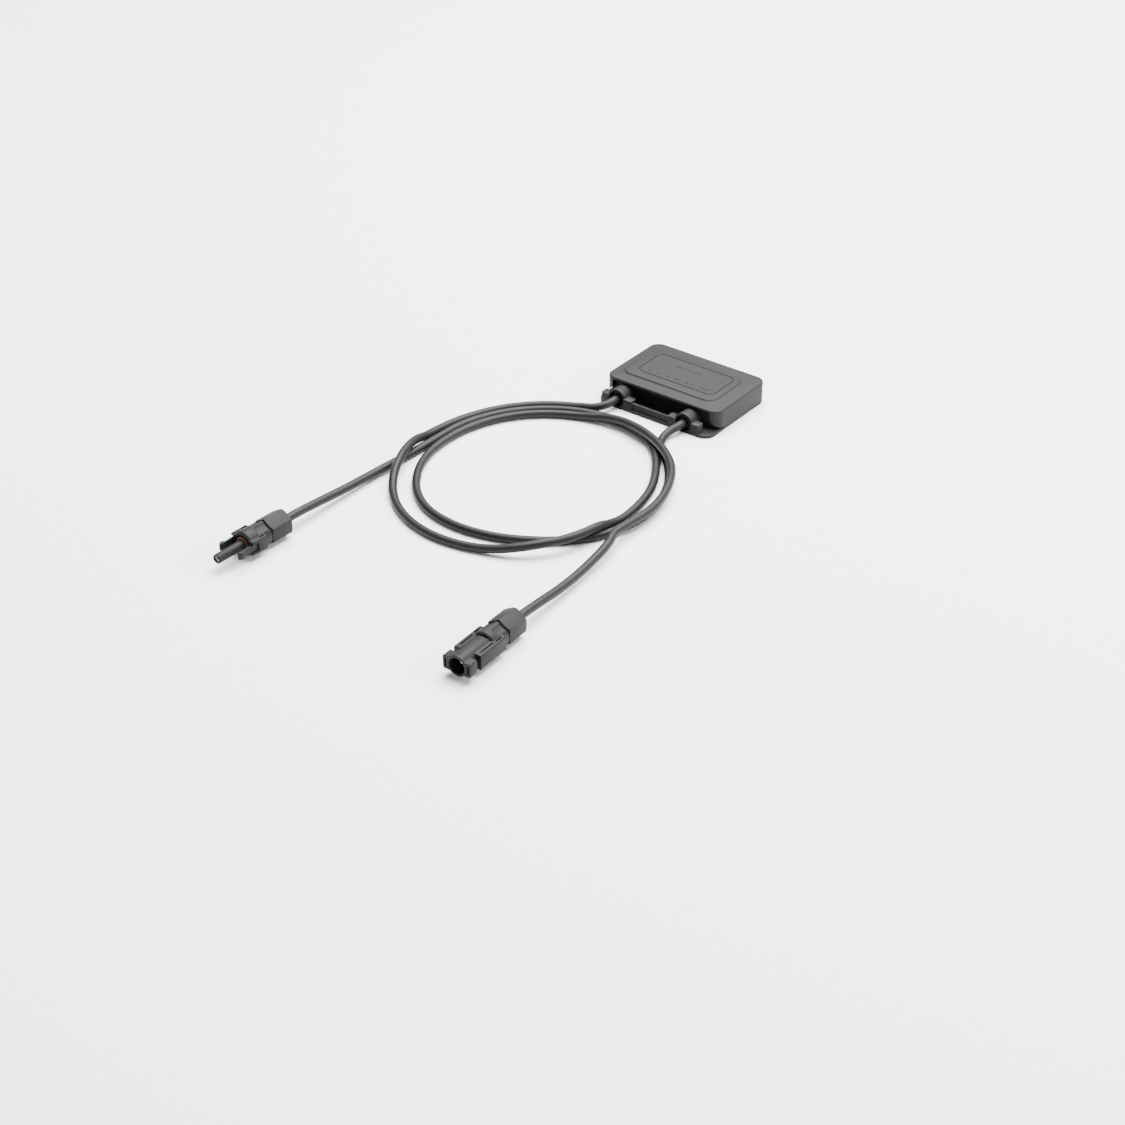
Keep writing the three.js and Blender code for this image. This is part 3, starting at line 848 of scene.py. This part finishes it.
class JUNCTION_OT_cover(bpy.types.Operator):
    """Make the box's cover, with its plateau and engraved outline"""

    bl_idname = "junction.cover"
    bl_label = "Cover"

    def execute(self, context):
        sizes = settings()[1]
        top = COVER_HIGH.z
        depth = sizes.line_depth / MM
        loops = [(cover_outline(0.35), COVER_LOW.z), (cover_outline(0), COVER_LOW.z + 0.35)]
        loops += [(cover_outline(i), z) for i, z in fillet(sizes.cover_edge / MM, LID_TOP)]
        loops += [(plateau_outline(-1.1), LID_TOP), (plateau_outline(-0.6), LID_TOP + 0.12)]
        loops += [(plateau_outline(0.3 + i), z) for i, z in fillet(0.4, top, 4)]
        loops += [
            (line_outline(-0.08), top), (line_outline(0.04), top - 0.08),
            (line_outline(0.14), top - depth), (line_outline(0.56), top - depth),
            (line_outline(0.66), top - 0.08), (line_outline(0.78), top),
        ]
        inner = [(cover_outline(COVER_WALL), COVER_LOW.z - 1)]
        inner += [
            (cover_outline(COVER_WALL + i), z) for i, z in fillet(1.0, OPENING_TOP, 4)
        ]
        half, edge = OPENING_HALF, COVER_HIGH.x + 1
        flare = []
        for i in range(9):
            t = i / 8
            foot, bend, head = (edge, FLOOR + GAP), (half + 1.5, 6.8), (half, OPENING_FLARE)
            flare.append(tuple(
                (1 - t) ** 2 * foot[k] + 2 * t * (1 - t) * bend[k] + t**2 * head[k]
                for k in (0, 1)
            ))
        opening = [(-edge, -1), (edge, -1), *flare, (half, OPENING_TOP), (-half, OPENING_TOP)]
        opening += [(-x, z) for x, z in reversed(flare)]
        marks = [pad(-15, 12.6, 9, 14.8, top)]
        marks += [pad(x, -4.6, x + 3.2, -2, top) for x in (-28, -20, -12, -4)]
        marks += [pad(6, -4.4, 14, -2.6, top), pad(19, -4.4, 27, -2.6, top)]
        lip = block(-8.5, COVER_LOW.y + 0.2, 11.8, 18, COVER_LOW.y + 1.8, LID_TOP - 1)
        made = moulded(
            "cover_shell", stacked(loops), [lip, *marks],
            [stacked(inner), along_y(opening, -40, -18)], edge=0,
        )
        dress(made, finish_of("housing"), "housing_plastic", "cover", "cover")
        return {"FINISHED"}


def apron_outline(inset=0.0):
    half = BASE_HIGH.x - inset
    front = BASE_LOW.y + inset
    radius = APRON_CORNER - inset
    points = [(-half, APRON_BACK - inset)]
    for cx, start in ((-half + radius, 180), (half - radius, 270)):
        for i in range(13):
            a = math.radians(start + 90 * i / 12)
            points.append((cx + radius * math.cos(a), front + radius + radius * math.sin(a)))
    points.append((half, APRON_BACK - inset))
    return points


def arch(radius, bottom, centre, steps=28):
    """An outline with a half-round top, on upright sides."""
    x, z = centre
    points = [(x - radius, bottom), (x + radius, bottom)]
    for i in range(steps + 1):
        a = math.pi * i / steps
        points.append((x + radius * math.cos(a), z + radius * math.sin(a)))
    return points


class JUNCTION_OT_base(bpy.types.Operator):
    """Make the box's base, with its tub, glands and feet, and the seals in the glands"""

    bl_idname = "junction.base"
    bl_label = "Base"

    def execute(self, context):
        back = BASE_HIGH.y
        tub = upright(rounded(-TUB_HALF, TUB_FRONT, TUB_HALF, back, TUB_CORNER), 0, TUB_TOP)
        inner = rounded(
            -TUB_HALF + TUB_WALL, TUB_FRONT + TUB_WALL, TUB_HALF - TUB_WALL, back - TUB_WALL,
            TUB_CORNER - TUB_WALL,
        )
        hollow = [upright(inner, FLOOR, TUB_TOP + 1)]
        first = shape_of(moulded(
            "base_tub", tub, [upright(apron_outline(), 0, FLOOR)], hollow, edge=0,
        ))
        joined = []
        for axis in GLANDS.values():
            joined.append(self.foot(axis))
            joined += self.gland(axis)
        joined.append(block(GLANDS["left"], -37.2, 1, GLANDS["right"], -35.6, LEDGE_TOP))
        for low, high in RAILS:
            middle = (low.x + high.x) / 2
            for y in (low.y + 3, high.y - 7):
                joined.append(block(middle - 3, y - 2, 1, middle + 3, y + 2, low.z - GAP))
        cut = [block(WINDOW[0], WINDOW[1], -1, WINDOW[2], WINDOW[3], FLOOR + 1)]
        for side, axis in GLANDS.items():
            at = (axis, GLAND_Z)
            cut.append(turned([
                (0, -41), (GLAND_BORE + 0.9, -41), (GLAND_BORE + 0.5, GLAND_RIM),
                (GLAND_BORE, GLAND_RIM + 0.5), (GLAND_BORE, -30), (0, -30),
            ], ROUND_SIDES, at))
            cut.append(rod(CABLE_RADIUS + GAP, -31, GLAND_INNER, at, 40))
            low, high = CLAMPS[side]
            for x in (low.x + 1.9, high.x - 1.9):
                cut.append(screw_hole(x, (low.y + high.y) / 2, 1.6, 0.6, FLOOR + 1))
        edge = settings()[1].plastic_edge / MM
        base = moulded("base_shell", first, joined, cut, edge=edge)
        dress(base, finish_of("housing"), "housing_plastic", "box", "base_housing")
        for side, axis in GLANDS.items():
            self.seal(side, axis)
        return {"FINISHED"}

    def foot(self, axis):
        """A flat-topped foot block, cut to the apron's round corners."""
        left = max(axis - FOOT_HALF, BASE_LOW.x + 4.6)
        right = min(axis + FOOT_HALF, BASE_HIGH.x - 6.9)
        return upright(rounded(left, FOOT_FRONT, right, FOOT_BACK, 1.4, 4), 1, FOOT_TOP)

    def gland(self, axis):
        """A half-round barrel with a raised ring at its mouth."""
        at = (axis, GLAND_Z)
        barrel = arch(GLAND_RADIUS - 0.25, 1, at)
        mouth = arch(GLAND_RADIUS, 1, at)
        return [
            along_y(barrel, GLAND_RIM, TUB_FRONT + 0.4),
            along_y(mouth, GLAND_RIM, GLAND_RIM + 3.2),
        ]

    def seal(self, side, axis):
        low, high = SEALS[side]
        outer, inner = GLAND_BORE - GAP, CABLE_RADIUS + 0.06
        middle = (low.y + high.y) / 2
        ribbed = [(inner, low.y + 0.5), (inner + 0.5, low.y), (outer - 0.7, low.y)]
        for y in (low.y + 1.2, middle, high.y - 1.2):
            ribbed += [
                (outer - 0.5, y - 0.8), (outer, y - 0.3), (outer, y + 0.3), (outer - 0.5, y + 0.8),
            ]
        ribbed += [(outer - 0.7, high.y), (inner + 0.5, high.y), (inner, high.y - 0.5)]
        made = moulded(side + "_gland_seal", turned(ribbed, ROUND_SIDES, (axis, GLAND_Z)), edge=0)
        dress(made, finish_of("rubber"), "seal_rubber", "box", side + "_cable_seal")


# Connectors


def sheath_end(name, y0, y1, place=None, at=(0, 0)):
    """A cut length of sheath with slightly rounded ends."""
    radius = CABLE_RADIUS
    profile = [(0, y0), (radius - 0.3, y0), (radius, y0 + 0.3), (radius, y1 - 0.3),
               (radius - 0.3, y1), (0, y1)]
    made = moulded(name, turned(profile, 40, at), edge=0, place=place)
    dress(made, finish_of("sheath"), "cable_sheath", "box", name.replace("_sheath", "_cable_end"))


def rear_profile(front):
    """The round rear body of both connectors, with its thread stub."""
    r = BODY_RADIUS
    return turned([
        (0, front), (r - 1, front), (r, front + 1.2), (r, NUT_FRONT - 0.8),
        (r - 0.5, NUT_FRONT), (STUB, NUT_FRONT), (STUB, STUB_END), (0, STUB_END),
    ])


def pocket(angle, y0, y1):
    """A shallow four-sided pocket in a shoulder of the round body."""
    a = math.radians(angle)
    shape = upright([(-3.1, y0), (3.1, y0), (3.1, y1), (-3.1, y1)],
                    BODY_RADIUS - 1.0, BODY_RADIUS + 1.4)
    return moved(shape, lambda x, y, z: (
        x * math.cos(a) + z * math.sin(a), y, z * math.cos(a) - x * math.sin(a),
    ))


def wing(half_x, half_z, y0, y1, radius=1.1):
    return along_y(rounded(-half_x, -half_z, half_x, half_z, radius, 5), y0, y1)


def pockets(y0, y1):
    return [pocket(angle, y0, y1) for angle in (30, -30, 150, -150)]


class JUNCTION_OT_shell(bpy.types.Operator):
    """Make the shell half of the connector pair"""

    bl_idname = "junction.shell"
    bl_label = "Shell connector"

    def execute(self, context):
        place = connector_place("shell")
        barrel = turned([
            (0, 0), (SHELL_BARREL - 0.3, 0), (SHELL_BARREL, 0.3), (SHELL_BARREL, 30), (0, 30),
        ])
        joined = [
            wing(WING_HALF + 0.2, WING_HEIGHT - 0.3, 0, 6.8, 1.4),
            wing(WING_HALF, WING_HEIGHT, 11.3, 38),
            rear_profile(28),
            along_y(rounded(-0.8, -7.7, 0.8, 7.7, 0.6, 3), 3.2, 26.2),
        ]
        groove = block(-3.4, 26.9, 6.3, 3.4, 28.1, 9.5)
        cut = [
            turned([
                (0, -1), (SHELL_BORE + 0.3, -1), (SHELL_BORE, 0.5), (SHELL_BORE, SHELL_WALL),
                (0, SHELL_WALL),
            ]),
            rod(2.2, 24.5, 30), rod(CHAMBER, 28.5, STUB_END + 1), groove,
            *mirrored(8.2, -1, -3, 9.5, 5, 3),
            *mirrored(7.4, 14.4, 4, 8.4, 27.2, 7), *mirrored(7.4, 14.4, -7, 8.4, 27.2, -4),
            *mirrored(7.9, 29.9, 3.6, 9.1, 35.3, 7.2), *mirrored(7.9, 29.9, -7.2, 9.1, 35.3, -3.6),
            *pockets(34, 43.2),
        ]
        edge = settings()[1].plastic_edge / MM
        made = moulded("shell_body", barrel, joined, cut, edge=edge * 0.8, place=place)
        dress(made, finish_of("connector"), "connector_plastic", "box", "shell_housing")
        sheath_end("shell_sheath", *SHEATH_IN_NUT, place)
        return {"FINISHED"}


class JUNCTION_OT_probe(bpy.types.Operator):
    """Make the probe half of the connector pair, with its latch fingers and ring"""

    bl_idname = "junction.probe"
    bl_label = "Probe connector"

    def execute(self, context):
        place = connector_place("probe")
        edge = settings()[1].plastic_edge / MM
        tube = turned([
            (0, 0), (PROBE_TUBE - 0.5, 0), (PROBE_TUBE - 0.15, 0.25), (PROBE_TUBE, 0.7),
            (PROBE_TUBE, 28), (0, 28),
        ], 48)
        first = shape_of(moulded(
            "probe_rear", rear_profile(PROBE_FRONT),
            [wing(WING_HALF, WING_HEIGHT, PROBE_FRONT, 37)],
            [rod(PROBE_RECESS, PROBE_FRONT - 1, 27)], edge=0,
        ))
        cut = [
            turned([
                (0, -1), (PROBE_BORE + 0.5, -1), (PROBE_BORE + 0.2, 0.3), (PROBE_BORE, 0.8),
                (PROBE_BORE, 30), (0, 30),
            ], 40),
            rod(CHAMBER, 29.5, STUB_END + 1),
            *mirrored(7.5, 23, -3.1, 13, 29.5, 3.1),
            *mirrored(7.9, 31.5, 3.6, 9.1, 36, 7.2), *mirrored(7.9, 31.5, -7.2, 9.1, 36, -3.6),
            *pockets(33, 43.2),
        ]
        body = moulded("probe_body", first, [tube], cut, edge=edge * 0.8, place=place)
        dress(body, finish_of("connector"), "connector_plastic", "box", "probe_housing")

        middle, thick = PROBE_RING
        section = [
            (middle + thick * math.cos(math.pi * i / 8),
             PROBE_FRONT + 0.1 + thick * math.sin(math.pi * i / 8)) for i in range(16)
        ]
        o_ring = moulded("probe_ring", turned(section), edge=0, place=place)
        dress(o_ring, finish_of("silicone"), "red_silicone", "box", "probe_o_ring")
        for side, body_name in ((-1, "left_finger"), (1, "right_finger")):
            self.finger(side, body_name, place, edge)
        sheath_end("probe_sheath", *SHEATH_IN_NUT, place)
        return {"FINISHED"}

    def finger(self, side, body, place, edge):
        """A sprung finger with a stepped barb near its tip and a waist above its root."""
        outline = [
            (8, 29.2), (8, 21), (8.25, 18.5), (8, 16.2), (8, 12), (8.4, 11.6), (9.4, 11.6),
            (10.9, 13.5), (10.9, 16.2), (9.6, 16.3), (9.4, 18.5), (9.6, 22), (9.6, 29.2),
        ]
        shape = upright([(side * x, y) for x, y in outline], -FINGER_HEIGHT, FINGER_HEIGHT)
        made = moulded(body + "_latch", shape, edge=edge * 0.7, place=place)
        node = body.split("_")[0] + "_latch_finger"
        dress(made, finish_of("connector"), "connector_plastic", body, node)


class JUNCTION_OT_nuts(bpy.types.Operator):
    """Make the six-sided cap nut of each connector"""

    bl_idname = "junction.nuts"
    bl_label = "Cap nuts"

    def execute(self, context):
        front, end = NUT_FRONT + GAP, CONNECTOR_LENGTH
        corner = NUT_CORNER
        envelope = turned([
            (0, front), (corner - 0.6, front), (corner, front + 0.8),
            (corner, end - 1.5), (corner - 0.25, end - 0.7), (corner - 0.9, end), (0, end),
        ])
        hexagon = [
            (corner * math.cos(math.pi / 2 + i * math.pi / 3),
             corner * math.sin(math.pi / 2 + i * math.pi / 3)) for i in range(6)
        ]
        inside = turned([
            (0, front - 1), (STUB + GAP, front - 1), (STUB + GAP, 51), (5.7, 52), (5.7, 56),
            (CABLE_RADIUS + 0.35, 58.5), (CABLE_RADIUS + 0.35, end - 0.6),
            (CABLE_RADIUS + 0.9, end + 0.2), (CABLE_RADIUS + 0.9, end + 1), (0, end + 1),
        ])
        for name in ("shell", "probe"):
            made = moulded(
                name + "_nut_cap", along_y(hexagon, front - 1, end + 1), [], [inside],
                within=envelope, edge=0.28, place=connector_place(name),
            )
            dress(
                made, finish_of("connector"), "connector_plastic",
                name + "_nut", name + "_cap_nut",
            )
        return {"FINISHED"}


# Inner pieces, whose shapes are the frame's own

INNER = {
    "rubber": ["cover_gasket", "shell_cable_seal", "probe_cable_seal"],
    "tinned": [
        *[f"terminal_rail_{i}" for i in range(1, 5)], "left_crimp_lug", "right_crimp_lug",
        "pin_contact", "socket_contact",
    ],
    "steel": [
        *[f"ribbon_clip_{i}" for i in range(1, 5)],
        *[f"{side}_{piece}" for side in ("left", "right")
          for piece in ("cable_clamp", "clamp_screw_1", "clamp_screw_2")],
    ],
    "copper": ["left_conductor", "right_conductor"],
    "epoxy": [f"bypass_diode_{i}" for i in range(1, 4)],
    "cage": ["shell_clamping_cage", "probe_clamping_cage"],
}


class JUNCTION_OT_inner(bpy.types.Operator):
    """Finish the rails, clips, diodes, clamps, contacts and seals inside"""

    bl_idname = "junction.inner"
    bl_label = "Inner pieces"

    def execute(self, context):
        for kind, nodes in INNER.items():
            for node in nodes:
                made = frame["nodes"][node]
                for place in made.material_slots:
                    place.material = finish_of(kind)
                if not made.material_slots:
                    made.data.materials.append(finish_of(kind))
        for side, axis in GLANDS.items():
            sheath_end(side + "_sheath", *SHEATH_IN_BOX, None, (axis, GLAND_Z))
        return {"FINISHED"}


class JUNCTION_PT_panel(bpy.types.Panel):
    """Settings and steps of the junction box"""

    bl_label = "Junction Box"
    bl_idname = "JUNCTION_PT_panel"
    bl_space_type = "VIEW_3D"
    bl_region_type = "UI"
    bl_category = "Junction Box"

    def draw(self, context):
        for group in settings():
            box = self.layout.box()
            for name in group.__annotations__:
                box.prop(group, name)
        for step in STEPS:
            self.layout.operator(step.bl_idname)


STEPS = (
    JUNCTION_OT_stage, JUNCTION_OT_leads, JUNCTION_OT_cover, JUNCTION_OT_base,
    JUNCTION_OT_shell, JUNCTION_OT_probe, JUNCTION_OT_nuts, JUNCTION_OT_inner,
)
GROUPS = {
    "junction_finishes": JUNCTION_PG_finishes,
    "junction_sizes": JUNCTION_PG_sizes,
    "junction_stage": JUNCTION_PG_stage,
}
CLASSES = (*GROUPS.values(), *STEPS, JUNCTION_PT_panel)


def register():
    for one in CLASSES:
        bpy.utils.register_class(one)
    for name, group in GROUPS.items():
        setattr(bpy.types.Scene, name, PointerProperty(type=group))


def unregister():
    for name in GROUPS:
        delattr(bpy.types.Scene, name)
    for one in reversed(CLASSES):
        bpy.utils.unregister_class(one)


def main():
    register()
    bpy.ops.junction.stage()
    bpy.ops.junction.leads()
    bpy.ops.junction.cover()
    bpy.ops.junction.base()
    bpy.ops.junction.shell()
    bpy.ops.junction.probe()
    bpy.ops.junction.nuts()
    bpy.ops.junction.inner()


if __name__ == "__main__":
    main()
